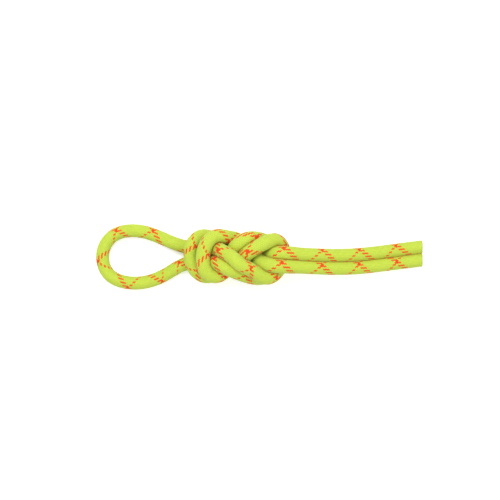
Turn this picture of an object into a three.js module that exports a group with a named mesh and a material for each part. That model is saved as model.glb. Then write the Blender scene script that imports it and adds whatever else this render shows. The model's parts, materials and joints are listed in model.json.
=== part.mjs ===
// A dynamic climbing rope tied in a figure-eight on a bight, lying flat.
// One continuous kernmantle rope: a braided sheath around twisted core strands and an identification tape.
// Millimetres, +X from the loop towards the two rope ends, +Z up from the ground it lies on.
// The origin is the centre of the whole rope's footprint, on the ground.

import * as THREE from "three";
import { mergeVertices } from "three/addons/utils/BufferGeometryUtils.js";

// ---- Driving dimensions ----
const ROPE_DIAMETER = 9.8;
const SHEATH_WALL = 1.15; // at the corners of the six-sided bore, which hold the six outer core strands
const SHEATH_SIDES = 14;
const CORE_STRANDS = 7; // one in the middle and six round it
const CORE_SIDES = 5;
const CORE_RADIUS = 0.95;
const CORE_PITCH = 2.27; // spacing between neighbouring core strands
const TAPE_WIDTH = 1.3;
const TAPE_THICKNESS = 0.12;
const TAPE_RADIUS = 3.07; // from the middle of the rope to the middle of the tape
const TAPE_ANGLE = Math.PI / 6; // the tape lies in the groove between two core strands
const SEAL_THICKNESS = 1.4; // the melted disc on a cut end
const STRAND_GAP = 0.55; // clear space left where two strands of the knot touch
const ENDS_GAP = 0.22; // and between the two ends, side by side
const JOINT_GAP = 0.3; // clear space between two lengths of rope, and under a melted disc
const BEND = 45; // how far a free length of rope bends either way from rest, in degrees

// ---- Course of the rope ----
// Points the rope passes through, in rope diameters from the middle of the knot: [x, y, height of its centre].
const STANDING_END = [
  [14.57, 0.81, 0.5], [12.9, 0.6, 0.5], [10.9, 0.34, 0.6], [8.75, 0.15, 1.05],
  [6.6, 0.17, 1.7], [4.9, 0.25, 2.2], [3.7, 0.4, 2.3],
];
const KNOT_STRAND_A = [
  // under the two crossing strands and along the back edge
  [2.4, 0.5, 2.0], [1.4, 0.6, 1.4], [0.3, 0.75, 0.9], [-0.86, 1.05, 0.6], [-1.9, 1.3, 0.8],
  // the outer turn of the collar, over both legs of the loop
  [-2.85, 1.35, 1.0], [-3.6, 1.1, 1.5], [-3.78, 0.08, 1.85], [-3.6, -0.9, 1.5], [-2.85, -1.1, 0.9],
  // under the two strands that come from the loop, then up over the middle
  [-1.9, -1.29, 0.7], [-1.0, -1.15, 0.6], [-0.3, -0.8, 0.7], [0.2, -0.25, 1.2], [0.65, 0.4, 2.3],
  [1.2, 0.95, 2.9],
  // the upper turn of the right bight, behind both rope ends
  [2.1, 1.2, 3.1], [3.1, 0.95, 2.3], [3.6, 0.3, 1.35], [3.65, -0.5, 1.3], [3.25, -1.4, 1.8],
  // over the middle and down to the loop
  [2.4, -1.58, 2.3], [1.6, -1.12, 2.8], [0.6, -0.42, 3.0], [-0.39, 0.22, 2.8], [-1.2, 0.55, 2.1],
  [-2.1, 0.59, 1.2], [-3.1, 0.6, 0.65],
];
const LOOP = [
  [-4.3, 0.88, 0.55], [-5.5, 1.36, 0.5], [-6.72, 1.84, 0.5], [-8.1, 2.08, 0.5], [-9.85, 1.5, 0.5],
  [-10.47, 0.02, 0.5], [-9.85, -1.45, 0.5], [-8.1, -2.05, 0.5], [-6.72, -1.85, 0.5], [-5.5, -1.35, 0.5],
  [-4.3, -0.65, 0.55],
];
const KNOT_STRAND_B = [
  // under the collar, then over the middle beside strand A
  [-3.1, -0.34, 0.65], [-2.1, -0.32, 1.2], [-1.2, -0.5, 1.95], [-0.2, -1.1, 2.5], [0.62, -1.5, 2.35],
  [1.56, -1.75, 1.8],
  // the lower turn of the right bight, under strand A
  [2.5, -1.8, 1.2], [3.25, -1.3, 0.7], [3.6, -0.3, 0.5], [3.55, 0.4, 0.5], [2.95, 0.95, 0.8],
  [2.0, 1.15, 1.4],
  // down across the middle and under the strands from the loop
  [1.2, 1.25, 1.9], [0.5, 1.1, 2.0], [-0.1, 0.75, 1.7], [-0.47, 0.2, 1.25], [-0.4, -0.5, 1.0],
  [-0.55, -1.25, 1.0], [-1.2, -1.25, 1.5],
  // the inner turn of the collar
  [-2.1, -0.85, 2.1], [-2.75, -0.4, 2.5], [-2.9, 0.16, 2.6], [-2.65, 0.85, 2.4], [-1.95, 1.2, 2.0],
  [-1.09, 1.4, 1.7],
  // under the crossing strands to the other rope end
  [-0.4, 1.35, 1.45], [0.31, 0.94, 1.15], [0.95, 0.15, 1.05], [1.6, -0.45, 1.6], [2.5, -0.58, 2.2],
];
const TAIL_END = [
  [3.7, -0.66, 2.35], [4.9, -0.77, 2.2], [6.6, -0.85, 1.7], [8.75, -0.87, 1.05], [10.9, -0.68, 0.6],
  [12.9, -0.43, 0.5], [14.57, -0.22, 0.5],
];

// Where the free lengths bend, along x in rope diameters.
const LOOP_JOINT_X = -4.75;
const ENDS_JOINT_X = 4.9;

// ---- Settling the knot ----
const STEP = 0.25; // spacing of the settled points, in rope diameters
const SETTLE_ROUNDS = 900;
const CONTACT = 1 + STRAND_GAP / ROPE_DIAMETER;
const ENDS_CONTACT = 1 + ENDS_GAP / ROPE_DIAMETER;
const KNOT_START = -4; // the knot lies between these two x, in rope diameters
const KNOT_END = 4.6;
const NEAR_ALONG = 6; // points closer than this along the rope never count as touching

// Pushes strands that are closer than one rope apart, evens out the bends and keeps to the drawn course.
function settle(course) {
  const curve = new THREE.CatmullRomCurve3(course, false, "centripetal");
  const count = Math.round(curve.getLength() / STEP);
  const drawn = curve.getSpacedPoints(count);
  const rope = drawn.map((p) => p.clone());
  const middle = new THREE.Vector3();
  const apart = new THREE.Vector3();
  for (let round = 0; round < SETTLE_ROUNDS; round++) {
    const ease = 1 - round / SETTLE_ROUNDS;
    for (let i = 1; i < count; i++) {
      const knotted = drawn[i].x > KNOT_START && drawn[i].x < KNOT_END;
      const smooth = knotted ? 0.3 * ease + 0.1 : 0.05;
      middle.copy(rope[i - 1]).add(rope[i + 1]).multiplyScalar(0.5);
      rope[i].lerp(middle, smooth);
      const hold = knotted ? 0.05 * ease : 0.1;
      rope[i].x += (drawn[i].x - rope[i].x) * hold;
      rope[i].y += (drawn[i].y - rope[i].y) * hold;
      rope[i].z += (drawn[i].z - rope[i].z) * hold * 0.4;
    }
    for (let pass = 0; pass < 2; pass++) {
      for (let i = 0; i <= count; i++) {
        for (let j = i + NEAR_ALONG; j <= count; j++) {
          apart.copy(rope[j]).sub(rope[i]);
          const distance = apart.length();
          const contact = Math.min(rope[i].x, rope[j].x) > KNOT_END ? ENDS_CONTACT : CONTACT;
          if (distance < contact && distance > 0) {
            apart.multiplyScalar((0.5 * (contact - distance)) / distance);
            rope[i].sub(apart);
            rope[j].add(apart);
          }
        }
      }
      for (const p of rope) p.z = Math.max(p.z, 0.5);
    }
  }
  return rope;
}

// The direction of the rope and two cross axes at every settled point, carried along without twisting.
function carryFrames(points) {
  const frames = [];
  const normal = new THREE.Vector3(0, 0, 1);
  for (let i = 0; i < points.length; i++) {
    const before = points[Math.max(i - 1, 0)];
    const after = points[Math.min(i + 1, points.length - 1)];
    const tangent = after.clone().sub(before).normalize();
    normal.addScaledVector(tangent, -normal.dot(tangent)).normalize();
    const binormal = tangent.clone().cross(normal);
    frames.push({ point: points[i].clone(), tangent, normal: normal.clone(), binormal });
  }
  return frames;
}

// ---- Where one length of rope is cut from the next ----
const KNOT_BOW = 0.02; // how far a run between two rings may bow out, in rope diameters
const FREE_BOW = 0.07; // the same for the loop and the free ends
const LONGEST_RUN = 9; // settled points between two rings of straight rope
const SHORTEST_END = 3; // and between a cut and the nearest ring

function pickRings(frames, from, to, mostBow) {
  const rings = [frames[from]];
  let last = from;
  let turned = 0;
  for (let i = from + 1; i <= to - SHORTEST_END; i++) {
    turned += frames[i].tangent.angleTo(frames[i - 1].tangent);
    const run = (i - last) * STEP;
    const due = (run * turned) / 8 >= mostBow || i - last >= LONGEST_RUN;
    if (due && i - from >= SHORTEST_END) {
      rings.push(frames[i]);
      last = i;
      turned = 0;
    }
  }
  rings.push(frames[to]);
  return rings;
}

// The settled point nearest to a plane across x, looking between two points of the rope.
function nearestTo(frames, x, from, to) {
  let best = from;
  for (let i = from; i <= to; i++) {
    const nearer = Math.abs(frames[i].point.x - x) < Math.abs(frames[best].point.x - x);
    if (nearer) best = i;
  }
  return best;
}

// A path for extrusion that keeps the rings and frames it is given.
class RopeLength extends THREE.Curve {
  constructor(rings) {
    super();
    this.rings = rings;
  }

  getPoint(t, target = new THREE.Vector3()) {
    return target.copy(this.rings[Math.round(t * (this.rings.length - 1))].point);
  }

  getSpacedPoints() {
    return this.rings.map((ring) => ring.point);
  }

  computeFrenetFrames() {
    return {
      tangents: this.rings.map((ring) => ring.tangent),
      normals: this.rings.map((ring) => ring.normal),
      binormals: this.rings.map((ring) => ring.binormal),
    };
  }
}

// Slides the corners of an end ring along the rope until they lie on the face wanted there.
function cutEnd(geometry, ring, face) {
  const position = geometry.attributes.position;
  const corner = new THREE.Vector3();
  const offset = new THREE.Vector3();
  for (let i = 0; i < position.count; i++) {
    corner.fromBufferAttribute(position, i);
    offset.copy(corner).sub(ring.point);
    if (offset.length() > ROPE_DIAMETER || Math.abs(offset.dot(ring.tangent)) > 0.001) continue;
    for (let k = 0; k < 12; k++) {
      corner.addScaledVector(ring.tangent, (face(corner) - corner.x) / ring.tangent.x);
    }
    position.setXYZ(i, corner.x, corner.y, corner.z);
  }
}

// ---- Cross-sections ----
function polygon(sides, radius, x = 0, y = 0, turn = 0) {
  const corners = [];
  for (let i = 0; i < sides; i++) {
    const angle = turn + (i * 2 * Math.PI) / sides;
    corners.push(new THREE.Vector2(x + radius * Math.cos(angle), y + radius * Math.sin(angle)));
  }
  return corners;
}

function sheathSection() {
  const section = new THREE.Shape(polygon(SHEATH_SIDES, ROPE_DIAMETER / 2));
  section.holes.push(new THREE.Path(polygon(6, ROPE_DIAMETER / 2 - SHEATH_WALL)));
  return section;
}

function coreSection(index) {
  if (index === 0) return new THREE.Shape(polygon(CORE_SIDES, CORE_RADIUS));
  const angle = ((index - 1) * Math.PI) / 3;
  const x = CORE_PITCH * Math.cos(angle);
  const y = CORE_PITCH * Math.sin(angle);
  return new THREE.Shape(polygon(CORE_SIDES, CORE_RADIUS, x, y, angle));
}

function tapeSection() {
  const outward = new THREE.Vector2(Math.cos(TAPE_ANGLE), Math.sin(TAPE_ANGLE));
  const across = new THREE.Vector2(-outward.y, outward.x);
  const corner = (out, side) =>
    outward
      .clone()
      .multiplyScalar(TAPE_RADIUS + out * TAPE_THICKNESS * 0.5)
      .addScaledVector(across, side * TAPE_WIDTH * 0.5);
  return new THREE.Shape([corner(-1, -1), corner(1, -1), corner(1, 1), corner(-1, 1)]);
}

// ---- Materials ----
function finish(color, roughness) {
  return new THREE.MeshStandardMaterial({ color, roughness, metalness: 0 });
}

const SHEATH_CLOTH = finish("#c8e45a", 0.9);
const CORE_YARN = finish("#f1efe6", 0.85);
const TAPE_FILM = finish("#8fb6d9", 0.5);
const MELTED_END = finish("#b4cf3c", 0.45);

// ---- Pieces ----
function piece(name, section, material, rings, startFace, endFace) {
  const path = new RopeLength(rings);
  const options = { steps: rings.length - 1, bevelEnabled: false, extrudePath: path };
  const extruded = new THREE.ExtrudeGeometry(section, options);
  extruded.deleteAttribute("uv");
  extruded.deleteAttribute("normal");
  const first = rings[0];
  const last = rings[rings.length - 1];
  cutEnd(extruded, first, startFace);
  cutEnd(extruded, last, endFace);
  const geometry = mergeVertices(extruded, 0.0005);
  geometry.computeVertexNormals();
  const mesh = new THREE.Mesh(geometry, material);
  mesh.name = name;
  return mesh;
}

// One length of rope: its sheath, its seven core strands and its tape.
function ropeLength(name, rings, startFace, endFace) {
  const pieces = [piece(`sheath_${name}`, sheathSection(), SHEATH_CLOTH, rings, startFace, endFace)];
  for (let index = 0; index < CORE_STRANDS; index++) {
    const section = coreSection(index);
    pieces.push(piece(`core_${index}_${name}`, section, CORE_YARN, rings, startFace, endFace));
  }
  pieces.push(piece(`tape_${name}`, tapeSection(), TAPE_FILM, rings, startFace, endFace));
  return pieces;
}

// The hard melted disc that seals a cut end, flat and square across x.
function sealedEnd(name, ring) {
  const direction = Math.sign(ring.tangent.x);
  const inner = { ...ring, point: ring.point.clone() };
  inner.point.addScaledVector(ring.tangent, -direction * SEAL_THICKNESS);
  const rings = direction > 0 ? [inner, ring] : [ring, inner];
  const outerFace = () => CUT_X;
  const innerFace = () => CUT_X - SEAL_THICKNESS;
  const faces = direction > 0 ? [innerFace, outerFace] : [outerFace, innerFace];
  return piece(name, new THREE.Shape(polygon(SHEATH_SIDES, ROPE_DIAMETER / 2)), MELTED_END, rings, ...faces);
}

// A face across x that falls back above and below the hinge line, so that two lengths can fold together.
function foldingFace(x, hingeHeight, side) {
  const slope = Math.tan(THREE.MathUtils.degToRad(BEND) / 2);
  return (corner) => x + side * (JOINT_GAP / 2 + Math.abs(corner.z - hingeHeight) * slope);
}

// ---- The whole rope ----
const CUT_X = STANDING_END[0][0] * ROPE_DIAMETER;
const LOOP_HINGE = LOOP_JOINT_X * ROPE_DIAMETER;
const END_HINGE = ENDS_JOINT_X * ROPE_DIAMETER;

const course = [STANDING_END, KNOT_STRAND_A, LOOP, KNOT_STRAND_B, TAIL_END].flat();
const settled = settle(course.map((p) => new THREE.Vector3(...p)));
for (const point of settled) point.multiplyScalar(ROPE_DIAMETER);
const frames = carryFrames(settled);

const first = 0;
const last = frames.length - 1;
const middle = Math.round(last / 2);
const standingBend = nearestTo(frames, END_HINGE, first, Math.round(last * 0.15));
const tailBend = nearestTo(frames, END_HINGE, Math.round(last * 0.85), last);
const neckA = nearestTo(frames, LOOP_HINGE, Math.round(last * 0.3), middle);
const neckB = nearestTo(frames, LOOP_HINGE, middle, Math.round(last * 0.7));

const neckHeight = (frames[neckA].point.z + frames[neckB].point.z) / 2;
const standingHeight = frames[standingBend].point.z;
const tailHeight = frames[tailBend].point.z;
const cutFace = () => CUT_X - SEAL_THICKNESS - JOINT_GAP;

const rope = new THREE.Group();
rope.name = "rope";
rope.add(
  ...ropeLength(
    "standing",
    pickRings(frames, first, standingBend, FREE_BOW),
    cutFace,
    foldingFace(END_HINGE, standingHeight, 1),
  ),
  ...ropeLength(
    "knot_a",
    pickRings(frames, standingBend, neckA, KNOT_BOW),
    foldingFace(END_HINGE, standingHeight, -1),
    foldingFace(LOOP_HINGE, neckHeight, 1),
  ),
  ...ropeLength(
    "loop",
    pickRings(frames, neckA, neckB, FREE_BOW),
    foldingFace(LOOP_HINGE, neckHeight, -1),
    foldingFace(LOOP_HINGE, neckHeight, -1),
  ),
  ...ropeLength(
    "knot_b",
    pickRings(frames, neckB, tailBend, KNOT_BOW),
    foldingFace(LOOP_HINGE, neckHeight, 1),
    foldingFace(END_HINGE, tailHeight, -1),
  ),
  ...ropeLength(
    "tail",
    pickRings(frames, tailBend, last, FREE_BOW),
    foldingFace(END_HINGE, tailHeight, 1),
    cutFace,
  ),
  sealedEnd("sealed_end_standing", frames[first]),
  sealedEnd("sealed_end_tail", frames[last]),
);

// Centred over its footprint, resting on the ground.
const box = new THREE.Box3().setFromObject(rope);
const centre = box.getCenter(new THREE.Vector3());
rope.position.set(-centre.x, -centre.y, -box.min.z);
rope.updateMatrixWorld(true);

export default rope;
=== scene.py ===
"""A dynamic climbing rope tied in a figure-eight on a bight: braided sheath, twisted core strands, tape and
sealed ends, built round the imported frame. Every length is in metres, in the frame's own axes."""

import json
import math

import bmesh
import bpy
import numpy as np
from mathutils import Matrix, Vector, noise


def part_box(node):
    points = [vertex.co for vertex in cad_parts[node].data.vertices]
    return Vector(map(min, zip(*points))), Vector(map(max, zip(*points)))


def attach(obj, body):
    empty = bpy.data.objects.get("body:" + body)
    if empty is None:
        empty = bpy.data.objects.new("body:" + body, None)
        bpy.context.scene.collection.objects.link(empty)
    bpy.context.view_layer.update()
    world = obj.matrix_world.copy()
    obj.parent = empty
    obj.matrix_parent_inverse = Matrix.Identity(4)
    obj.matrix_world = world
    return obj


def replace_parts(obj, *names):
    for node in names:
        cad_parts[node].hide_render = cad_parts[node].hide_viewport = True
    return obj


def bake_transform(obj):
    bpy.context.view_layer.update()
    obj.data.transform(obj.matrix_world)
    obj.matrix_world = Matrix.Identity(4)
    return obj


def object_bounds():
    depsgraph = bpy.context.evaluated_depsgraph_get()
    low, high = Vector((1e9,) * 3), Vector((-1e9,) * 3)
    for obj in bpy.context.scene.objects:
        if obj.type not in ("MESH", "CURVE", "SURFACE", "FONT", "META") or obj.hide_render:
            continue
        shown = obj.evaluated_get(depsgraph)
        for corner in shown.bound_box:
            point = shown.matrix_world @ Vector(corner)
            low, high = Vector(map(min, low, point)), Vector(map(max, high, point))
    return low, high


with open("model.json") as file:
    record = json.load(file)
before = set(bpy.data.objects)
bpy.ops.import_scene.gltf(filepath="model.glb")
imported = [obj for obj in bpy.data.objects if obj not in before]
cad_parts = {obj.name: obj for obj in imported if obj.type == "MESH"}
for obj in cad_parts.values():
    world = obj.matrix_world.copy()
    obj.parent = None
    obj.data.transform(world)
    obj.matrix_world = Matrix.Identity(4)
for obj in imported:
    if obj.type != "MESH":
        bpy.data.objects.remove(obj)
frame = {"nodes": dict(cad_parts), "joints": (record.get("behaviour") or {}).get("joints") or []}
cad_lo, cad_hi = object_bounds()

MM = 0.001
SEGMENTS = ("standing", "knot_a", "loop", "knot_b", "tail")
STRAND_CORNERS = 5  # corners of one ring of the frame's middle core strand, which lies on the rope's axis

# ---- The braid ----
CARRIERS = 24  # yarns winding each way
AROUND = 96  # points round the rope: four to each yarn
BRAID_PITCH = 28.7 * MM  # one turn of a yarn round the rope
ROPE_RADIUS = 4.76 * MM  # at the grooves of the braid, on free rope
KNOT_RADIUS = 5.2 * MM  # the same inside the knot, where the rope is squeezed fatter against its neighbours
YARN_RELIEF = 0.27 * MM  # from a groove of the braid to the crown of a yarn
BORE_RADIUS = 3.7 * MM
BORE_SIDES = 24

# ---- How strands press on each other ----
KNOT_REACH = 11.8 * MM  # axes closer than this press on each other
FAR_ALONG = 14 * MM  # but only where the rope between them is longer than this
CONTACT_GAP = 0.02 * MM  # from a pressed surface to the plane halfway between the axes
LEAST_FACING = 0.05  # cosine below which a point looks past its neighbour
UNPRESSED = 1.0  # the radius limit where there is no neighbour
LOOP_SIDE = (4 * MM, 8 * MM)  # inside the knot's end at the loop: where the squeeze starts, how long it eases
ENDS_SIDE = (1 * MM, 12 * MM)  # the same at the free ends, where it starts outside the knot
LEAN = 0.35 * MM  # the two free ends close a gap as small as this between them
NEAR_REACH = 1.6 * MM  # painted shade deepens the sheath's colour where a neighbour is closer than this
RELIEF_ROOM = 0.6 * MM  # the braid flattens where it has less room than this
LEAST_RELIEF = 0.25  # the share of its relief that it keeps


# ---- The rope's axis, read from the frame ----
def ring_centres(node, start):
    """Centres of the rings of a strand, walking its mesh from the end nearest to start."""
    bm = bmesh.new()
    bm.from_mesh(frame["nodes"][node].data)
    bmesh.ops.remove_doubles(bm, verts=bm.verts, dist=5e-6)
    ordered = sorted(bm.verts, key=lambda v: (v.co - start).length)
    ring = set(ordered[:STRAND_CORNERS])
    seen = set(ring)
    centres = []
    while ring:
        corners = sorted(ring, key=lambda v: v.index)
        centres.append(sum((v.co for v in corners), Vector()) / len(ring))
        ring = {e.other_vert(v) for v in ring for e in v.link_edges} - seen
        seen |= ring
    bm.free()
    return centres


def reach_plane(point, inner, x):
    """Where the line from inner through point meets the plane across x."""
    step = point - inner
    return point + step * ((x - point.x) / step.x)


def axis_points():
    """The axis from the standing end's cut to the tail's cut, one point for each ring of the frame's rope."""
    lo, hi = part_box("sealed_end_standing")
    cut_x = hi.x
    points = []
    here = (lo + hi) / 2
    for name in SEGMENTS:
        centres = ring_centres("core_0_" + name, here)
        if points:
            points[-1] = (points[-1] + centres[0]) / 2
            centres = centres[1:]
        points += centres
        here = points[-1]
    points.insert(0, reach_plane(points[0], points[1], cut_x))
    points.append(reach_plane(points[-1], points[-2], cut_x))
    return np.array([list(p) for p in points])


def spline_through(points, samples):
    """A natural cubic spline through the points, evaluated at evenly spaced parameters."""
    gaps = np.linalg.norm(np.diff(points, axis=0), axis=1)
    knots = np.concatenate([[0], np.cumsum(gaps)])
    n = len(points)
    system = np.eye(n)
    right = np.zeros((n, 3))
    for i in range(1, n - 1):
        system[i, i - 1] = gaps[i - 1]
        system[i, i] = 2 * (gaps[i - 1] + gaps[i])
        system[i, i + 1] = gaps[i]
        after = (points[i + 1] - points[i]) / gaps[i]
        before = (points[i] - points[i - 1]) / gaps[i - 1]
        right[i] = 6 * (after - before)
    second = np.linalg.solve(system, right)
    t = np.linspace(0, knots[-1], samples)
    k = np.clip(np.searchsorted(knots, t, side="right") - 1, 0, n - 2)
    h = gaps[k][:, None]
    left = (knots[k + 1] - t)[:, None]
    far = (t - knots[k])[:, None]
    curve = second[k] * left**3 / (6 * h) + second[k + 1] * far**3 / (6 * h)
    curve += (points[k] / h - second[k] * h / 6) * left
    curve += (points[k + 1] / h - second[k + 1] * h / 6) * far
    return curve


def unit(v):
    """The vectors, made one long."""
    return v / np.linalg.norm(v, axis=-1, keepdims=True)


def carried_normals(points, tangents):
    """A cross direction carried along the axis without twisting."""
    normals = np.zeros_like(points)
    n = np.array([0.0, 0.0, 1.0])
    for i, t in enumerate(tangents):
        n = n - t * (n @ t)
        n = n / math.sqrt(n @ n)
        normals[i] = n
    return normals


DENSE = 9600  # points along the axis, one about every 0.1 mm
dense = spline_through(axis_points(), DENSE)
dense_run = np.concatenate([[0], np.cumsum(np.linalg.norm(np.diff(dense, axis=0), axis=1))])
dense_tangent = unit(np.gradient(dense, dense_run, axis=0))
dense_normal = carried_normals(dense, dense_tangent)
dense_side = np.cross(dense_tangent, dense_normal)
LENGTH = dense_run[-1]


def at_run(run, table):
    """A table of vectors along the dense axis, read at distances along the rope."""
    return np.stack([np.interp(run, dense_run, table[:, k]) for k in range(3)], axis=1)


# ---- Where the tracer yarns cross ----
# Spots on top of the object where the two tracers cross, in millimetres: how far along the rope from the
# standing end's cut (to within half a pitch), then x and y. The side of the rope they lie on follows.
CROSSINGS = [
    # The standing end.
    (19.5, 104.5, 9.1),
    (49, 76.2, 6.0),
    (79, 47.8, 5.6),
    (108, 18.7, 7.0),
    # The knot, on the way to the loop.
    (195, -49.3, 8.0),
    (219, -47.1, -11.2),
    (274, -8.8, 3.0),
    (304, 19.0, 8.0),
    (332, 12.9, -15.3),
    (356, -6.0, -8.0),
    (388, -31.2, 5.5),
    # The loop.
    (448, -80.8, 20.6),
    (475, -110.1, 20.9),
    (499, -124.5, -3.5),
    (529, -101.3, -24.5),
    (553, -74.4, -19.6),
    (576, -61.6, -5.0),
    # The knot, on the way back from the loop.
    (607, -35.0, -1.5),
    (636, -10.3, -14.3),
    (698, -2.0, 15.6),
    (748, -25.7, -14.5),
    (780, -38.6, 1.2),
    (806, -24.4, 11.0),
    # The tail.
    (856, 16.7, -5.0),
    (887, 47.5, -7.0),
    (916, 76.0, -6.2),
    (946, 104.9, -4.7),
]
SEARCH_REACH = 150  # points of the dense axis searched to either side of a crossing's stated place
SEARCH_STEP = 2
SEARCH_TURNS = 120  # turns round the axis tried at each of them
UNDERSIDE = 1.0  # added to the distance of a point that can't be seen from above


def crossing_turn(run, spot):
    """Where along the rope, and at which turn round it, its upper side lies over a spot seen from above."""
    i = int(np.argmin(np.abs(dense_run - run)))
    window = np.arange(max(i - SEARCH_REACH, 0), min(i + SEARCH_REACH, DENSE), SEARCH_STEP)
    turn = np.linspace(-math.pi, math.pi, SEARCH_TURNS, endpoint=False)
    out = dense_normal[window][:, None] * np.cos(turn)[None, :, None]
    out = out + dense_side[window][:, None] * np.sin(turn)[None, :, None]
    place = dense[window][:, None, :2] + out[..., :2] * (ROPE_RADIUS + YARN_RELIEF)
    away = np.linalg.norm(place - spot, axis=2) + np.where(out[..., 2] > 0, 0, UNDERSIDE)
    j, k = np.unravel_index(np.argmin(away), away.shape)
    return dense_run[window[j]], turn[k]


def braid_phase():
    """Distance along the rope, braid phase (in yarns) and turn of every crossing and of both ends."""
    runs = [0.0]
    phases = [0.0]
    turns = [0.0]
    for run, x, y in CROSSINGS:
        s, turn = crossing_turn(run * MM, np.array([x, y]) * MM)
        pitches = (s - runs[-1]) / BRAID_PITCH
        if len(runs) == 1:
            phases[0] = -pitches * CARRIERS
            runs.append(s)
            phases.append(0.0)
            turns[0] = turn
            turns.append(turn)
            continue
        turn += 2 * math.pi * round((turns[-1] - turn) / (2 * math.pi))
        runs.append(s)
        phases.append(phases[-1] + CARRIERS * max(round(pitches), 1))
        turns.append(turn)
    phases.append(phases[-1] + (LENGTH - runs[-1]) / BRAID_PITCH * CARRIERS)
    turns.append(turns[-1])
    runs.append(LENGTH)
    return np.array(runs), np.array(phases), np.array(turns)


def eased(x, xs, ys):
    """Monotone cubic interpolation through (xs, ys)."""
    h = np.diff(xs)
    slope = np.diff(ys) / h
    m = np.empty(len(xs))
    m[0], m[-1] = slope[0], slope[-1]
    product = slope[1:] * slope[:-1]
    mean = 2 * product / np.where(np.abs(slope[1:] + slope[:-1]) > 1e-12, slope[1:] + slope[:-1], 1)
    m[1:-1] = np.where(product > 0, mean, 0)
    k = np.clip(np.searchsorted(xs, x, side="right") - 1, 0, len(h) - 1)
    t = (x - xs[k]) / h[k]
    a = (1 + 2 * t) * (1 - t) ** 2 * ys[k] + t * (1 - t) ** 2 * h[k] * m[k]
    b = t * t * (3 - 2 * t) * ys[k + 1] + t * t * (t - 1) * h[k] * m[k + 1]
    return a + b


anchor_run, anchor_phase, anchor_turn = braid_phase()
dense_phase = eased(dense_run, anchor_run, anchor_phase)
dense_turn = eased(dense_run, anchor_run, anchor_turn)

# ---- The rings of the sheath: one for each quarter of a yarn along the rope ----
first_quarter = math.ceil(dense_phase[0] * 4)
last_quarter = math.floor(dense_phase[-1] * 4)
quarters = np.arange(first_quarter, last_quarter + 1)
ring_run = np.interp(quarters / 4, dense_phase, dense_run)
ring_run[0], ring_run[-1] = 0, LENGTH
ring_centre = at_run(ring_run, dense)
ring_tangent = unit(at_run(ring_run, dense_tangent))
ring_normal = at_run(ring_run, dense_normal)
ring_turn = np.interp(ring_run, dense_run, dense_turn)
ring_normal = unit(ring_normal - ring_tangent * np.sum(ring_normal * ring_tangent, axis=1, keepdims=True))
ring_side = np.cross(ring_tangent, ring_normal)
RINGS = len(quarters)


def ring_at(run):
    """The nearest ring to a distance along the rope."""
    return int(np.argmin(np.abs(ring_run - run)))


def directions(sides):
    """Outward directions of every ring at evenly spaced angles: rings x sides x 3."""
    angle = 2 * math.pi * np.arange(sides) / sides + ring_turn[:, None]
    cos, sin = np.cos(angle)[..., None], np.sin(angle)[..., None]
    return ring_normal[:, None, :] * cos + ring_side[:, None, :] * sin


# ---- The surface of the sheath ----
def yarn_relief():
    """Height of the braid at every point, from 0 in the grooves to 1 on the crown of a yarn.

    Yarn i winds right-handed and yarn j left-handed. Both pass every point, and i + j says which is on top.
    """
    m = np.arange(AROUND)[None, :]
    n = quarters[:, None]
    a, b = (m - n) / 4, (m + n) / 4
    i, j = np.round(a), np.round(b)
    k = np.mod(i + j, 4)
    right_on_top = k < 1.5
    across = np.where(right_on_top, a - i, b - j)
    shift = np.where((k == 0) | (k == 2), -0.5, 0.5)
    along = np.where(right_on_top, b - j, a - i) + shift
    crown = np.sqrt(np.clip(1 - (2 * across) ** 2, 0, 1))
    arch = np.sqrt(np.clip(1 - along**4, 0, 1))
    return crown * arch


def pressed_radius(outward):
    """How far out every point may go before it meets the neighbouring strand, halfway between the axes."""
    limit = np.full(outward.shape[:2], UNPRESSED)
    sample = np.arange(0, RINGS, 2)
    batch = 200
    for start in range(0, RINGS, batch):
        rows = np.arange(start, min(start + batch, RINGS))
        between = ring_centre[sample][None] - ring_centre[rows][:, None]
        gap = np.linalg.norm(between, axis=2)
        apart = np.abs(ring_run[sample][None] - ring_run[rows][:, None])
        close = (gap < KNOT_REACH) & (apart > FAR_ALONG)
        for local, row in enumerate(rows):
            picked = np.flatnonzero(close[local])
            if not len(picked):
                continue
            towards = between[local, picked] / gap[local, picked][:, None]
            facing = outward[row] @ towards.T
            reach = (gap[local, picked] / 2 - CONTACT_GAP)[None] / np.maximum(facing, LEAST_FACING)
            limit[row] = np.where(facing > LEAST_FACING, reach, UNPRESSED).min(axis=1)
    return limit


def smoothed(field, along, around):
    """A rings x angles field, averaged twice over its neighbours along and around the rope."""
    for _ in range(2):
        if around:
            field = sum(np.roll(field, k, axis=1) for k in range(-around, around + 1)) / (2 * around + 1)
        if along:
            padded = np.pad(field, ((along, along), (0, 0)), mode="edge")
            total = np.cumsum(np.vstack([np.zeros((1, field.shape[1])), padded]), axis=0)
            field = (total[2 * along + 1 :] - total[: -2 * along - 1]) / (2 * along + 1)
    return field


def in_knot():
    """1 for rings squeezed in the knot, 0 on free rope, easing over about one rope diameter."""
    lo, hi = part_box("sheath_knot_a")
    x = ring_centre[:, 0]
    loop_side = np.clip((x - (lo.x + LOOP_SIDE[0])) / LOOP_SIDE[1], 0, 1)
    ends_side = np.clip((hi.x + ENDS_SIDE[0] - x) / ENDS_SIDE[1], 0, 1)
    return smoothed((loop_side * ends_side)[:, None], along=8, around=0)


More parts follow.
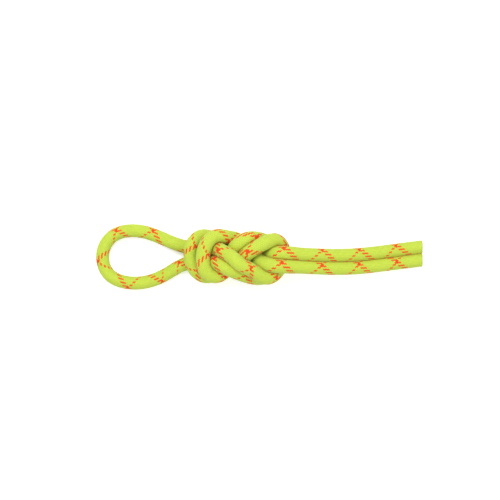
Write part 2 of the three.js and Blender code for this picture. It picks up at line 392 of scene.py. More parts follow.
def sheath_surface():
    """The braid's points (rings x angles x 3), and how near each is to a neighbouring strand, from 0 to 1."""
    outward = directions(AROUND)
    limit = pressed_radius(outward)
    knot = in_knot()
    base = ROPE_RADIUS + (KNOT_RADIUS - ROPE_RADIUS) * knot
    base = np.minimum(np.broadcast_to(base, limit.shape), limit)
    spare = limit - base
    on_ends = (ring_centre[:, 0] > 0)[:, None] * (1 - knot)
    leaning = on_ends * np.clip(2 - spare / LEAN, 0, 1)
    base = smoothed(base + spare * leaning, along=5, around=3)
    squeeze = np.clip((limit - base) / RELIEF_ROOM, LEAST_RELIEF, 1)
    radius = np.minimum(base + YARN_RELIEF * yarn_relief() * squeeze, limit)
    nearness = smoothed(np.clip(1 - (limit - radius) / NEAR_REACH, 0, 1), along=2, around=1)
    return ring_centre[:, None, :] + outward * radius[..., None], nearness


surface, surface_nearness = sheath_surface()
surface[..., 2] = np.maximum(surface[..., 2], 0)  # the rope lies on the ground


# ---- Mesh helpers ----
def new_object(name, vertices, triangles, material, flat=()):
    """A smooth-shaded mesh object, with the triangles listed in flat shaded flat."""
    mesh = bpy.data.meshes.new(name)
    mesh.vertices.add(len(vertices))
    mesh.vertices.foreach_set("co", np.asarray(vertices, np.float32).ravel())
    mesh.loops.add(len(triangles) * 3)
    mesh.loops.foreach_set("vertex_index", np.asarray(triangles, np.int32).ravel())
    mesh.polygons.add(len(triangles))
    mesh.polygons.foreach_set("loop_start", np.arange(len(triangles), dtype=np.int32) * 3)
    smooth = np.ones(len(triangles), bool)
    if len(flat):
        smooth[np.asarray(flat)] = False
    mesh.polygons.foreach_set("use_smooth", smooth)
    mesh.update(calc_edges=True)
    mesh.validate()
    mesh.materials.append(material)
    obj = bpy.data.objects.new(name, mesh)
    bpy.context.scene.collection.objects.link(obj)
    return obj


def sharpen(obj, vertex_ids):
    """Marks every edge between two of these vertices sharp."""
    mesh = obj.data
    ends = np.zeros(len(mesh.edges) * 2, np.int32)
    mesh.edges.foreach_get("vertices", ends)
    member = np.zeros(len(mesh.vertices), bool)
    member[vertex_ids] = True
    ends = ends.reshape(-1, 2)
    sharp = member[ends[:, 0]] & member[ends[:, 1]]
    attribute = mesh.attributes.new("sharp_edge", "BOOLEAN", "EDGE")
    attribute.data.foreach_set("value", sharp)


def set_value(obj, name, values):
    """One number for each vertex."""
    attribute = obj.data.attributes.new(name, "FLOAT", "POINT")
    attribute.data.foreach_set("value", np.asarray(values, np.float32))


def facing_out(vertices, triangles):
    """The triangles, turned over if they enclose a negative volume."""
    a, b, c = (vertices[triangles[:, k]] for k in range(3))
    volume = np.einsum("ij,ij->i", a - vertices[0], np.cross(b - vertices[0], c - vertices[0])).sum()
    return triangles if volume > 0 else triangles[:, ::-1]


def set_uv(obj, name, uv):
    """One pair for each corner of each triangle."""
    layer = obj.data.uv_layers.new(name=name)
    layer.data.foreach_set("uv", np.asarray(uv, np.float32).ravel())


# ---- One length of sheath ----
BORE_STEP = 4  # rings of braid to one ring of the bore
BAKE_SIDE = 0.01  # clear edge at both ends of a row of the bake layout
BAKE_ROW = 0.03  # clear edge above and below a row, as a share of its height
ROWS_FROM = 0.06  # the bake layout keeps its lowest strip for the bore and the cut faces
NO_YARN = -100.0  # the braid coordinate of the bore and the cut faces


def braid_triangles(first, last):
    """Corner lists (ring, angle) of the outer surface, split so that no triangle lies on two yarns."""
    n, m = np.meshgrid(np.arange(first, last), np.arange(AROUND), indexing="ij")
    n, m = n.ravel(), m.ravel()
    q = quarters[n]
    forward = np.where((m - q) % 4 == 2, True, np.where((m + q + 1) % 4 == 2, False, (m - q) % 2 == 0))
    tri_n, tri_m = [], []
    f, g = n[forward], m[forward]
    tri_n += [np.stack([f, f, f + 1], 1), np.stack([f, f + 1, f + 1], 1)]
    tri_m += [np.stack([g, g + 1, g + 1], 1), np.stack([g, g + 1, g], 1)]
    f, g = n[~forward], m[~forward]
    tri_n += [np.stack([f, f, f + 1], 1), np.stack([f, f + 1, f + 1], 1)]
    tri_m += [np.stack([g, g + 1, g], 1), np.stack([g + 1, g + 1, g], 1)]
    return np.concatenate(tri_n), np.concatenate(tri_m)


def bore_mesh(rings, base):
    """Points and triangles of the plain bore through these rings, its points numbered from base."""
    inward = directions(BORE_SIDES)[rings]
    points = (ring_centre[rings][:, None] + inward * BORE_RADIUS).reshape(-1, 3)
    r, c = np.meshgrid(np.arange(len(rings) - 1), np.arange(BORE_SIDES), indexing="ij")
    r, c = r.ravel(), c.ravel()
    p, q = base + r * BORE_SIDES + c, base + r * BORE_SIDES + (c + 1) % BORE_SIDES
    s, t = p + BORE_SIDES, q + BORE_SIDES
    return points, np.concatenate([np.stack([p, s, q], 1), np.stack([q, s, t], 1)])


def cut_face(outer, hole, flip):
    """Triangles between a ring of the braid and a ring of the bore, each given by its first point."""
    faces = []
    share = AROUND // BORE_SIDES
    for k in range(BORE_SIDES):
        near, far = hole + k, hole + (k + 1) % BORE_SIDES
        for i in range(k * share, (k + 1) * share):
            a, b = outer + i, outer + (i + 1) % AROUND
            faces.append((a, b, near) if flip else (a, near, b))
        b = outer + (k + 1) * share % AROUND
        faces.append((b, far, near) if flip else (b, near, far))
    return faces


def sheath_layouts(obj, tri_n, tri_m, first, last, inner_count):
    """Braid coordinates, in yarns (u round the rope, v along it), and the bake layout."""
    u = tri_m / 4
    v = quarters[np.clip(tri_n, 0, RINGS - 1)] / 4
    plain = np.full((inner_count * 3, 2), NO_YARN)
    set_uv(obj, "BraidUV", np.concatenate([np.stack([u, v], -1).reshape(-1, 2), plain]))

    # Bake layout: the outer surface as a strip folded into rows, the other triangles side by side under it.
    strip = ring_run[last] - ring_run[first]
    rows = max(1, round(math.sqrt(strip / (2 * math.pi * ROPE_RADIUS))))
    per_row = math.ceil((last - first) / rows)
    local = tri_n - first
    row = np.minimum(local.min(axis=1) // per_row, rows - 1)[:, None]
    x = BAKE_SIDE + (1 - 2 * BAKE_SIDE) * (local - row * per_row) / per_row
    y = (row + BAKE_ROW + (1 - 2 * BAKE_ROW) * tri_m / AROUND) / rows
    y = ROWS_FROM + (1 - ROWS_FROM) * y
    index, corner = np.divmod(np.arange(inner_count * 3), 3)
    inner_x = BAKE_SIDE + (1 - 2 * BAKE_SIDE) * (index + (corner == 1) * 0.8) / inner_count
    inner_y = 0.005 + 0.04 * (corner == 2)
    braid = np.stack([x, y], -1).reshape(-1, 2)
    set_uv(obj, "OFBake", np.concatenate([braid, np.stack([inner_x, inner_y], -1)]))


def sheath_length(name, first, last, material):
    """A closed length of sheath between two rings: braid outside, plain bore inside, cut faces."""
    tri_n, tri_m = braid_triangles(first, last)
    outer = surface[first : last + 1].reshape(-1, 3)
    outer_tri = (tri_n - first) * AROUND + tri_m % AROUND
    bore_rings = list(range(first, last, BORE_STEP)) + [last]
    bore, bore_tri = bore_mesh(bore_rings, len(outer))
    last_outer = (last - first) * AROUND
    last_hole = len(outer) + (len(bore_rings) - 1) * BORE_SIDES
    cut_tri = np.array(cut_face(0, len(outer), False) + cut_face(last_outer, last_hole, True))

    vertices = np.concatenate([outer, bore])
    triangles = np.concatenate([outer_tri, bore_tri, cut_tri])
    flat = np.arange(len(triangles) - len(cut_tri), len(triangles))
    obj = new_object(name, vertices, triangles, material, flat)
    rim = np.arange(AROUND)
    sharpen(obj, np.concatenate([rim, last_outer + rim]))
    nearness = np.zeros(len(vertices))
    nearness[: len(outer)] = surface_nearness[first : last + 1].ravel()
    set_value(obj, "nearness", nearness)
    sheath_layouts(obj, tri_n, tri_m, first, last, len(bore_tri) + len(cut_tri))
    return obj


# ---- Node helpers ----
class Nodes:
    """A small wrapper for building shader node trees."""

    def __init__(self, name):
        self.material = bpy.data.materials.new(name)
        self.material.use_nodes = True
        self.tree = self.material.node_tree
        self.tree.nodes.clear()
        self.shader = self.add("ShaderNodeBsdfPrincipled")
        output = self.add("ShaderNodeOutputMaterial")
        self.link(self.shader.outputs[0], output.inputs[0])

    def add(self, kind, **settings):
        """A new node with these properties."""
        node = self.tree.nodes.new(kind)
        for key, value in settings.items():
            setattr(node, key, value)
        return node

    def link(self, source, target):
        self.tree.links.new(source, target)

    def put(self, target, value):
        """Links an output to the input, or sets the input to a fixed value."""
        if isinstance(value, bpy.types.NodeSocket):
            self.link(value, target)
        else:
            target.default_value = value

    def math(self, operation, a, b=None, c=None, clamp=False):
        node = self.add("ShaderNodeMath", operation=operation, use_clamp=clamp)
        for k, value in enumerate((a, b, c)):
            if value is not None:
                self.put(node.inputs[k], value)
        return node.outputs[0]

    def mix(self, factor, a, b, **settings):
        """Colour a where the factor is 0 and b where it is 1, or blended as the settings say."""
        node = self.add("ShaderNodeMix", data_type="RGBA", **settings)
        self.put(node.inputs[0], factor)
        self.put(node.inputs[6], a)
        self.put(node.inputs[7], b)
        return node.outputs[2]

    def multiply(self, a, b):
        """The product of two colours."""
        return self.mix(1.0, a, b, blend_type="MULTIPLY")

    def choose(self, factor, a, b):
        """Number a where the factor is 0 and b where it is 1."""
        node = self.add("ShaderNodeMix", data_type="FLOAT")
        self.put(node.inputs[0], factor)
        self.put(node.inputs[2], a)
        self.put(node.inputs[3], b)
        return node.outputs[0]

    def noise(self, vector, scale, detail=2.0):
        node = self.add("ShaderNodeTexNoise")
        self.link(vector, node.inputs["Vector"])
        node.inputs["Scale"].default_value = scale
        node.inputs["Detail"].default_value = detail
        return node.outputs["Fac"]

    def random(self, *values):
        """A repeatable number from 0 to 1 for each set of values."""
        node = self.add("ShaderNodeTexWhiteNoise", noise_dimensions="3D")
        self.link(self.vector(*values), node.inputs["Vector"])
        return node.outputs["Value"]

    def vector(self, x, y, z=0.0):
        joined = self.add("ShaderNodeCombineXYZ")
        for k, value in enumerate((x, y, z)):
            self.put(joined.inputs[k], value)
        return joined.outputs[0]

    def uv(self, name):
        """Both coordinates of a named layer."""
        split = self.add("ShaderNodeSeparateXYZ")
        self.link(self.add("ShaderNodeUVMap", uv_map=name).outputs[0], split.inputs[0])
        return split.outputs[0], split.outputs[1]

    def place(self):
        """Where the point is on the object, in metres."""
        return self.add("ShaderNodeTexCoord").outputs["Object"]

    def bump(self, height, strength, distance):
        node = self.add("ShaderNodeBump")
        self.link(height, node.inputs["Height"])
        node.inputs["Strength"].default_value = strength
        node.inputs["Distance"].default_value = distance
        return node.outputs[0]


# ---- Materials ----
def srgb(r, g, b):
    """A colour given in screen values from 0 to 255, as shaders take it."""

    def channel(c):
        c /= 255
        return c / 12.92 if c <= 0.04045 else ((c + 0.055) / 1.055) ** 2.4

    return (channel(r), channel(g), channel(b), 1.0)


LIME = srgb(189, 212, 60)
LIME_DEEP = srgb(166, 185, 28)
LIME_HIGHLIGHT = srgb(212, 229, 102)  # painted highlight on the crown of a yarn
# painted shade in the grooves of the braid
GROOVE_SHADE = srgb(70, 70, 10)
CONTACT_SHADE_TINT = (1.4, 0.85, 0.1, 1.0)  # painted shade: multiplies the colour where strands press together
TRACER = srgb(240, 76, 6)
TRACER_DEEP = srgb(196, 42, 6)


def sheath_material():
    """Braided nylon: the weave is worked out from the braid coordinates, yarn by yarn."""
    s = Nodes("braided_sheath")
    u, v = s.uv("BraidUV")
    a, b = s.math("SUBTRACT", u, v), s.math("ADD", u, v)
    i, j = s.math("ROUND", a), s.math("ROUND", b)
    k = s.math("FLOORED_MODULO", s.math("ADD", i, j), 4.0)
    left = s.math("GREATER_THAN", k, 1.5)
    odd = s.math("FLOORED_MODULO", k, 2.0)
    shift = s.math("SUBTRACT", odd, 0.5)
    da, db = s.math("SUBTRACT", a, i), s.math("SUBTRACT", b, j)
    across = s.choose(left, da, db)
    along = s.math("ADD", s.choose(left, db, da), shift)
    yarn_right = s.math("FLOORED_MODULO", i, float(CARRIERS))
    yarn_left = s.math("FLOORED_MODULO", j, float(CARRIERS))
    yarn = s.choose(left, yarn_right, s.math("ADD", yarn_left, 40.0))  # a number of its own for every yarn
    travel = s.choose(left, b, a)

    # Four neighbouring tracer yarns wind right-handed, two wind left-handed.
    wide = s.math("LESS_THAN", s.math("FLOORED_MODULO", s.math("ADD", i, 2.0), float(CARRIERS)), 3.5)
    narrow = s.math("LESS_THAN", s.math("FLOORED_MODULO", s.math("ADD", j, 1.0), float(CARRIERS)), 1.5)
    tracer = s.choose(left, wide, narrow)

    # Colour: every yarn a little different, with a painted highlight on the crown and painted shade in the
    # grooves.
    yarn_tint = s.random(yarn, 3.0, 7.0)
    float_tint = s.random(i, j, 1.0)
    streak = s.noise(s.vector(s.math("MULTIPLY", travel, 0.35), s.math("MULTIPLY", across, 9.0), yarn), 3.0)
    tone = s.math("ADD", s.math("MULTIPLY", yarn_tint, 0.35), s.math("MULTIPLY", streak, 0.45))
    tone = s.math("ADD", tone, s.math("MULTIPLY", float_tint, 0.2))
    lime = s.mix(tone, LIME_DEEP, LIME)
    crown_x = s.math("POWER", s.math("ABSOLUTE", s.math("MULTIPLY", across, 2.0)), 2.0)
    crown_y = s.math("POWER", s.math("ABSOLUTE", along), 4.0)
    groove = s.math("MAXIMUM", crown_x, crown_y)
    # Painted highlight: the colour turns paler towards the crown of each yarn.
    lime = s.mix(s.math("MULTIPLY", s.math("SUBTRACT", 1.0, groove, clamp=True), 0.45), lime, LIME_HIGHLIGHT)
    orange = s.mix(s.math("MULTIPLY", streak, 0.7), TRACER, TRACER_DEEP)
    colour = s.mix(tracer, lime, orange)
    # Painted shade: the colour darkens towards a dark olive in the grooves between yarns.
    shade = s.math("MULTIPLY", s.math("POWER", groove, 2.0), 0.35)
    dark = s.mix(0.5, colour, GROOVE_SHADE)
    colour = s.mix(shade, colour, dark)

    # Painted shade where two strands press together: the colour darkens and turns golden there, in place of
    # shade and of light passed between the strands.
    near = s.add("ShaderNodeAttribute", attribute_name="nearness").outputs["Fac"]
    contact_shade = s.math("MULTIPLY", s.math("POWER", near, 2.0), 0.75)
    s.put(s.shader.inputs["Base Color"], s.mix(contact_shade, colour, s.multiply(colour, CONTACT_SHADE_TINT)))
    s.put(s.shader.inputs["Roughness"], s.math("ADD", 0.55, s.math("MULTIPLY", streak, 0.3)))
    s.shader.inputs["Sheen Weight"].default_value = 0.25
    s.shader.inputs["Sheen Roughness"].default_value = 0.4
    s.shader.inputs["Specular IOR Level"].default_value = 0.3

    # Fibres run along each yarn, and the yarn itself is round.
    grain = s.vector(s.math("MULTIPLY", travel, 0.8), s.math("MULTIPLY", across, 14.0), yarn)
    fibre = s.noise(grain, 4.0, 3.0)
    height = s.math("ADD", s.math("MULTIPLY", fibre, 0.35), s.math("SUBTRACT", 1.0, groove))
    s.put(s.shader.inputs["Normal"], s.bump(height, 0.6, 0.12 * MM))
    return s.material


def core_material():
    """Undyed nylon: fibres run along each of the three twisted plies."""
    s = Nodes("core_yarn")
    around, along = s.uv("PlyUV")
    grain = s.noise(s.vector(s.math("MULTIPLY", around, 12.0), along), 3.0, 3.0)
    s.put(s.shader.inputs["Base Color"], s.mix(grain, srgb(226, 222, 208), srgb(248, 246, 238)))
    s.put(s.shader.inputs["Roughness"], s.math("ADD", 0.6, s.math("MULTIPLY", grain, 0.25)))
    s.shader.inputs["Sheen Weight"].default_value = 0.3
    s.put(s.shader.inputs["Normal"], s.bump(grain, 0.5, 0.1 * MM))
    return s.material


def tape_material():
    """Thin pale blue film, a little cloudy, with nothing printed on it."""
    s = Nodes("marker_tape")
    grain = s.noise(s.place(), 600.0)
    s.put(s.shader.inputs["Base Color"], s.mix(grain, srgb(120, 160, 205), srgb(150, 188, 224)))
    s.put(s.shader.inputs["Roughness"], s.math("ADD", 0.35, s.math("MULTIPLY", grain, 0.2)))
    s.put(s.shader.inputs["Normal"], s.bump(grain, 0.2, 0.05 * MM))
    return s.material


def melt_material():
    """The sealed end: lime yarn melted into a hard, slightly glossy skin, milky over the core."""
    s = Nodes("melted_end")
    cloud = s.noise(s.place(), 700.0, 3.0)
    radius, _ = s.uv("MeltUV")
    reach = s.math("ADD", radius, s.math("MULTIPLY", s.math("SUBTRACT", cloud, 0.5), 0.25))
    rim = s.math("MULTIPLY", s.math("SUBTRACT", reach, 0.66), 9.0, clamp=True)
    face = s.mix(cloud, srgb(205, 212, 140), srgb(228, 230, 180))
    lime = s.mix(cloud, srgb(150, 176, 28), srgb(190, 212, 60))
    s.put(s.shader.inputs["Base Color"], s.mix(rim, face, lime))
    s.put(s.shader.inputs["Roughness"], s.math("ADD", 0.28, s.math("MULTIPLY", cloud, 0.25)))
    s.put(s.shader.inputs["Normal"], s.bump(cloud, 0.4, 0.15 * MM))
    return s.material


SHEATH = sheath_material()
CORE = core_material()
TAPE = tape_material()
MELT = melt_material()


# ---- Cutting the rope into pieces ----
def run_near(x, low, high):
    """Distance along the rope where it crosses x, looking between two shares of its length."""
    i0, i1 = int(low * DENSE), int(high * DENSE)
    return dense_run[i0 + int(np.argmin(np.abs(dense[i0:i1, 0] - x)))]


def hinge(name):
    """Where a joint of the frame turns."""
    return next(Vector(j["pos_m"]) for j in frame["joints"] if j["name"] == name)


SEAL = 1.4 * MM  # thickness of a sealed end
ENDS_SEAM = -20 * MM  # the seams lie inside the knot, clear of the bends
NECK_SEAM = 17 * MM

ends_hinge = hinge("standing_bend").x
neck_hinge = hinge("loop_bend").x
standing_seam = ring_at(run_near(ends_hinge + ENDS_SEAM, 0.02, 0.15))
tail_seam = ring_at(run_near(ends_hinge + ENDS_SEAM, 0.85, 0.98))
neck_seam_a = ring_at(run_near(neck_hinge + NECK_SEAM, 0.3, 0.5))
neck_seam_b = ring_at(run_near(neck_hinge + NECK_SEAM, 0.5, 0.7))
standing_cut = ring_at(SEAL)
tail_cut = ring_at(LENGTH - SEAL)

LENGTHS = {
    "standing": (standing_cut, standing_seam),
    "knot_a": (standing_seam, neck_seam_a),
    "loop": (neck_seam_a, neck_seam_b),
    "knot_b": (neck_seam_b, tail_seam),
    "tail": (tail_seam, tail_cut),
}


def square_off(index, x):
    """Slides the points of a ring along the rope onto the plane across x."""
    t = ring_tangent[index]
    surface[index] += t[None, :] * ((x - surface[index][:, 0]) / t[0])[:, None]


square_off(standing_cut, cad_hi.x - SEAL)
square_off(tail_cut, cad_hi.x - SEAL)


def follow(obj, name):
    """Rides on the knot, or, for the loop and the free lengths, has its transform applied to its points."""
    if name == "loop":
        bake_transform(obj)
    elif name in ("standing", "tail"):
        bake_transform(obj)
    else:
        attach(obj, "knot")


for name, (start, stop) in LENGTHS.items():
    piece = sheath_length("braided_sheath_" + name, start, stop, SHEATH)
    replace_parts(piece, "sheath_" + name)
    follow(piece, name)


# ---- Core strands and tape ----
CORE_STRANDS = 7
CORE_PITCH = 2.27 * MM  # between neighbouring strands
PLIES = 3
PLY_RADIUS = 0.58 * MM
PLY_OFFSET = 0.53 * MM  # from the strand's axis to a ply's axis
PLY_LAY = 14 * MM  # one turn of the plies
PLY_POINTS = 6  # points round each ply
CORE_STEP = 1.0 * MM  # between rings of a strand
CORE_ROW = 8 * MM  # about a strand's girth: it sets how many rows its bake layout folds into
TAPE_ANGLE = math.pi / 6
TAPE_RADIUS = 3.07 * MM
TAPE_HALF_THICK = 0.06 * MM
TAPE_HALF_WIDE = 0.65 * MM
TAPE_RIPPLE = 0.03 * MM
TAPE_WAVE = 2.3 * MM  # run of the ripple over one radian


def core_zero():
    """The turn round the axis, from the carried normal, at which the first outer strand lies."""
    away = Vector(ring_centres("core_1_standing", Vector(dense[0]))[0]) - Vector(dense[0])
    return math.atan2(away.dot(Vector(dense_side[0])), away.dot(Vector(dense_normal[0])))


CORE_ZERO = core_zero()


def swept(name, runs, sections, material):
    """A closed solid through one section (points x 2, across the rope) at each distance along the rope.

    Returns it with its triangles and the number of points in a section.
    """
    centre = at_run(runs, dense)[:, None]
    normal = at_run(runs, dense_normal)[:, None]
    side = at_run(runs, dense_side)[:, None]
    rings, count = sections.shape[:2]
    points = (centre + normal * sections[..., :1] + side * sections[..., 1:]).reshape(-1, 3)
    points = np.concatenate([points, points[:count].mean(0)[None], points[-count:].mean(0)[None]])
    r, c = np.meshgrid(np.arange(rings - 1), np.arange(count), indexing="ij")
    r, c = r.ravel(), c.ravel()
    p, q = r * count + c, r * count + (c + 1) % count
    s, t = p + count, q + count
    k = np.arange(count)
    k1 = (k + 1) % count
    last = (rings - 1) * count
    caps = np.concatenate(
        [
            np.stack([np.full(count, len(points) - 2), k1, k], 1),
            np.stack([np.full(count, len(points) - 1), last + k, last + k1], 1),
        ]
    )
    wall = np.concatenate([np.stack([p, q, s], 1), np.stack([q, t, s], 1)])
    triangles = facing_out(points, np.concatenate([wall, caps]))
    flat = np.arange(len(wall), len(triangles))
    obj = new_object(name, points, triangles, material, flat)
    sharpen(obj, np.concatenate([k, last + k]))
    return obj, triangles, count


def strand_section(runs, index):
    """Three round plies twisted together, as the outline they share."""
    count = PLIES * PLY_POINTS
    angle = 2 * math.pi * np.arange(count) / count
    from_ply = (angle + math.pi / PLIES) % (2 * math.pi / PLIES) - math.pi / PLIES
    radius = PLY_OFFSET * np.cos(from_ply) + np.sqrt(PLY_RADIUS**2 - (PLY_OFFSET * np.sin(from_ply)) ** 2)
    lay = 2 * math.pi * (runs / PLY_LAY + index / CORE_STRANDS)
    turned = angle[None] + lay[:, None]
    section = np.stack([radius * np.cos(turned), radius * np.sin(turned)], -1)
    if index:
        place = CORE_ZERO + (index - 1) * math.pi / 3
        section += CORE_PITCH * np.array([math.cos(place), math.sin(place)])
    return section


def tape_section(runs):
    """A thin flat strip that ripples a little in the groove between two strands."""
    outward = np.array([math.cos(CORE_ZERO + TAPE_ANGLE), math.sin(CORE_ZERO + TAPE_ANGLE)])
    across = np.array([-outward[1], outward[0]])
    ripple = TAPE_RIPPLE * np.sin(runs / TAPE_WAVE)
    corners = []
    for out, width in ((-1, -1), (1, -1), (1, 1), (-1, 1)):
        radius = TAPE_RADIUS + out * TAPE_HALF_THICK + ripple
        corners.append(radius[:, None] * outward + width * TAPE_HALF_WIDE * across)
    return np.stack(corners, axis=1)


def plain_layouts(obj, triangles, count, runs):
    """Coordinates along the fibres (turns, millimetres), and a bake layout of the wall folded into rows."""
    ring, corner = np.divmod(triangles, count)
    ring = np.minimum(ring, len(runs) - 1)
    wrapped = (corner.max(axis=1) - corner.min(axis=1) > count // 2)[:, None] & (corner == 0)
    around = np.where(wrapped, count, corner) / count
    set_uv(obj, "PlyUV", np.stack([around, runs[ring] / MM], -1).reshape(-1, 2))
    rows = max(1, round(math.sqrt((runs[-1] - runs[0]) / CORE_ROW)))
    per_row = math.ceil((len(runs) - 1) / rows)
    row = np.minimum(ring.min(axis=1) // per_row, rows - 1)[:, None]
    x = BAKE_SIDE + (1 - 2 * BAKE_SIDE) * np.clip((ring - row * per_row) / per_row, 0, 1)
    y = (row + BAKE_ROW + (1 - 2 * BAKE_ROW) * around) / rows
    set_uv(obj, "OFBake", np.stack([x, y], -1).reshape(-1, 2))


def inner_piece(name, node, runs, section, material, length):
    """One strand or tape inside one length of the rope."""
    piece, triangles, count = swept(name, runs, section, material)
    plain_layouts(piece, triangles, count, runs)
    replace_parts(piece, node)
    follow(piece, length)


for name, (start, stop) in LENGTHS.items():
    steps = max(2, round((ring_run[stop] - ring_run[start]) / CORE_STEP))
    runs = np.linspace(ring_run[start], ring_run[stop], steps + 1)
    for index in range(CORE_STRANDS):
        strand = f"core_strand_{index}_{name}"
        inner_piece(strand, f"core_{index}_{name}", runs, strand_section(runs, index), CORE, name)
    inner_piece(f"marker_tape_{name}", f"tape_{name}", runs, tape_section(runs), TAPE, name)


# ---- Sealed ends ----
# Each step of the wall and the face: share of the seal's length, of the rope's radius, of the braid's relief.
SEAL_PROFILE = (
    (0.0, 1.0, 1.0),
    (0.2, 1.004, 0.6),
    (0.45, 1.008, 0.2),
    (0.7, 1.004, 0.05),
    (0.86, 0.985, 0.0),
    (0.96, 0.95, 0.0),
    (1.0, 0.89, 0.0),
    (1.0, 0.8, 0.0),
    (1.0, 0.7, 0.0),
    (1.0, 0.58, 0.0),
    (1.0, 0.46, 0.0),
    (1.0, 0.34, 0.0),
    (1.0, 0.22, 0.0),
    (1.0, 0.1, 0.0),
)
MELT_BUMP = 0.1 * MM  # height of the bump over a core strand
MELT_BUMP_REACH = 0.8 * MM
MELT_DIP = 0.16 * MM
MELT_SKIN = 0.05 * MM  # unevenness of the cooled skin
MELT_GRAIN = 700.0  # its waves to a metre


def melt_height(offset, share):
    """How far the melted face dips or rises: low bumps over the core strands, a cooled, uneven skin."""
    height = 0.0
    for index in range(CORE_STRANDS):
        place = CORE_ZERO + (index - 1) * math.pi / 3
        reach = CORE_PITCH if index else 0.0
        centre = Vector((reach * math.cos(place), reach * math.sin(place)))
        height += MELT_BUMP * math.exp(-(((offset - centre).length / MELT_BUMP_REACH) ** 2))
    skin = noise.noise(Vector((offset.x, offset.y, 0.0)) * MELT_GRAIN)
    return (height - MELT_DIP + MELT_SKIN * skin) * min(1.0, max(0.0, (1.0 - share) * 5))


def seal_triangles():
    """The wall and face of a seal, ring by ring, then its two middle points: the tip and the hidden back."""
    levels = len(SEAL_PROFILE)
    last = (levels - 1) * AROUND
    tip = levels * AROUND
    back = tip + 1
    triangles = []
    for r in range(levels - 1):
        for k in range(AROUND):
            p, q = r * AROUND + k, r * AROUND + (k + 1) % AROUND
            triangles += [(p, q, p + AROUND), (q, q + AROUND, p + AROUND)]
    for k in range(AROUND):
        k1 = (k + 1) % AROUND
        triangles += [(last + k, last + k1, tip), (back, k1, k)]
    return np.array(triangles)


def sealed_end(name, cut, body):
    """The melted end: it starts as the cut ring of the sheath and rounds over into a smooth face."""
    centre = ring_centre[cut].copy()
    centre[0] = cad_hi.x - SEAL
    out = surface[cut] - centre
    reach = np.linalg.norm(out, axis=1)
    mean = reach.mean()
    unit_out = out / reach[:, None]
    points = []
    radial = []
    for along, share, relief in SEAL_PROFILE:
        radius = share * (mean + (reach - mean) * relief)
        level = centre + unit_out * radius[:, None]
        on_face = along == 1.0
        for k in range(AROUND):
            offset = Vector(((level[k] - centre) @ ring_normal[cut], (level[k] - centre) @ ring_side[cut]))
            x = centre[0] + along * SEAL + (melt_height(offset, share) if on_face else 0.0)
            points.append((x, level[k][1], level[k][2]))
        radial += [share if on_face else 1.0] * AROUND
    tip_x = centre[0] + SEAL + melt_height(Vector((0, 0)), 0.0)
    points += [(tip_x, centre[1], centre[2]), tuple(centre)]
    radial += [0.0, 1.0]
    points = np.array(points)
    triangles = facing_out(points, seal_triangles())
    obj = new_object(name, points, triangles, MELT)
    sharpen(obj, np.arange(AROUND))
    angle = (np.arange(len(points)) % AROUND) / AROUND
    uv = np.stack([np.array(radial)[triangles], angle[triangles]], -1)
    set_uv(obj, "MeltUV", uv.reshape(-1, 2))
    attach(obj, body)
    return obj


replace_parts(sealed_end("melted_end_standing", standing_cut, "standing_end"), "sealed_end_standing")
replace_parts(sealed_end("melted_end_tail", tail_cut, "tail_end"), "sealed_end_tail")


# ---- Floor, light and camera ----
FLOOR_SIZE = 4.0  # half its side
FLOOR_GAP = 0.1 * MM  # under the rope
FLOOR_GLOW = 0.35
WORLD_LIGHT = 0.75
FRAME_PIXELS = 500
PIXEL = 0.7656 * MM  # how much of the object one pixel shows
MID_HEIGHT = 8 * MM  # the height at which it shows that much
LENS = 200.0
SENSOR = 36.0
AIM = (-7.3 * MM, 5.0 * MM)


def floor_material():
    """White paper. The camera sees it brighter than it lights the rope, as an overexposed sweep is."""
    s = Nodes("floor_paper")
    grain = s.noise(s.place(), 40.0)
    s.put(s.shader.inputs["Base Color"], s.mix(grain, (0.9, 0.9, 0.9, 1), (0.93, 0.93, 0.93, 1)))
    s.shader.inputs["Roughness"].default_value = 0.9
    s.shader.inputs["Specular IOR Level"].default_value = 0.1
    seen = s.add("ShaderNodeLightPath").outputs["Is Camera Ray"]
    s.shader.inputs["Emission Color"].default_value = (1, 1, 1, 1)
    s.put(s.shader.inputs["Emission Strength"], s.math("MULTIPLY", seen, FLOOR_GLOW))
    return s.material


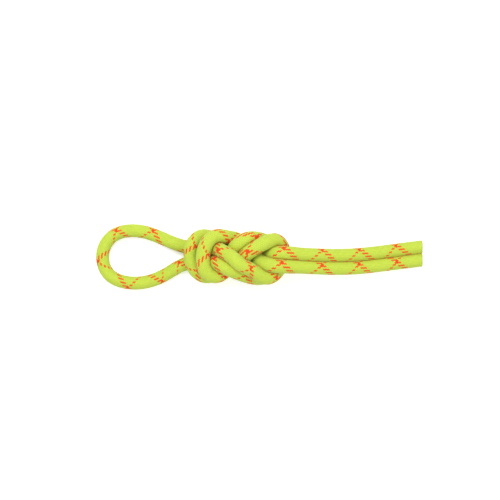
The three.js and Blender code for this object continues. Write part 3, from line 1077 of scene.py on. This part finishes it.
def add_floor():
    mesh = bpy.data.meshes.new("floor")
    bm = bmesh.new()
    bmesh.ops.create_grid(bm, x_segments=4, y_segments=4, size=FLOOR_SIZE)
    bm.to_mesh(mesh)
    bm.free()
    mesh.materials.append(floor_material())
    floor = bpy.data.objects.new("floor", mesh)
    floor.location.z = cad_lo.z - FLOOR_GAP
    bpy.context.scene.collection.objects.link(floor)


def add_light(name, location, size, power):
    """A round soft light, aimed at the rope."""
    light = bpy.data.lights.new(name, "AREA")
    light.shape = "DISK"
    light.size = size
    light.energy = power
    obj = bpy.data.objects.new(name, light)
    obj.location = location
    obj.rotation_mode = "QUATERNION"
    obj.rotation_quaternion = (-Vector(location)).to_track_quat("-Z", "Y")
    bpy.context.scene.collection.objects.link(obj)


def add_camera():
    """Straight above the rope, which lies a little to the right of the middle of the frame and below it."""
    data = bpy.data.cameras.new("camera")
    data.lens = LENS
    data.sensor_width = SENSOR
    camera = bpy.data.objects.new("camera", data)
    camera.location = (*AIM, FRAME_PIXELS * PIXEL * LENS / SENSOR + MID_HEIGHT)
    bpy.context.scene.collection.objects.link(camera)
    bpy.context.scene.camera = camera


def add_world():
    """Even white light all round. The camera sees it at full white, so that it runs on from the floor."""
    world = bpy.data.worlds.new("studio")
    world.use_nodes = True
    nodes, links = world.node_tree.nodes, world.node_tree.links
    seen = nodes.new("ShaderNodeLightPath").outputs["Is Camera Ray"]
    strength = nodes.new("ShaderNodeMath")
    strength.operation = "MULTIPLY_ADD"
    links.new(seen, strength.inputs[0])
    strength.inputs[1].default_value = 1 - WORLD_LIGHT
    strength.inputs[2].default_value = WORLD_LIGHT
    nodes["Background"].inputs["Color"].default_value = (1, 1, 1, 1)
    links.new(strength.outputs[0], nodes["Background"].inputs["Strength"])
    bpy.context.scene.world = world


add_floor()
add_light("key", (-0.35, 0.7, 1.3), size=0.9, power=14.0)
add_light("fill", (0.8, -0.6, 1.2), size=1.0, power=6.0)
add_camera()
add_world()
bpy.context.scene.view_settings.view_transform = "Standard"
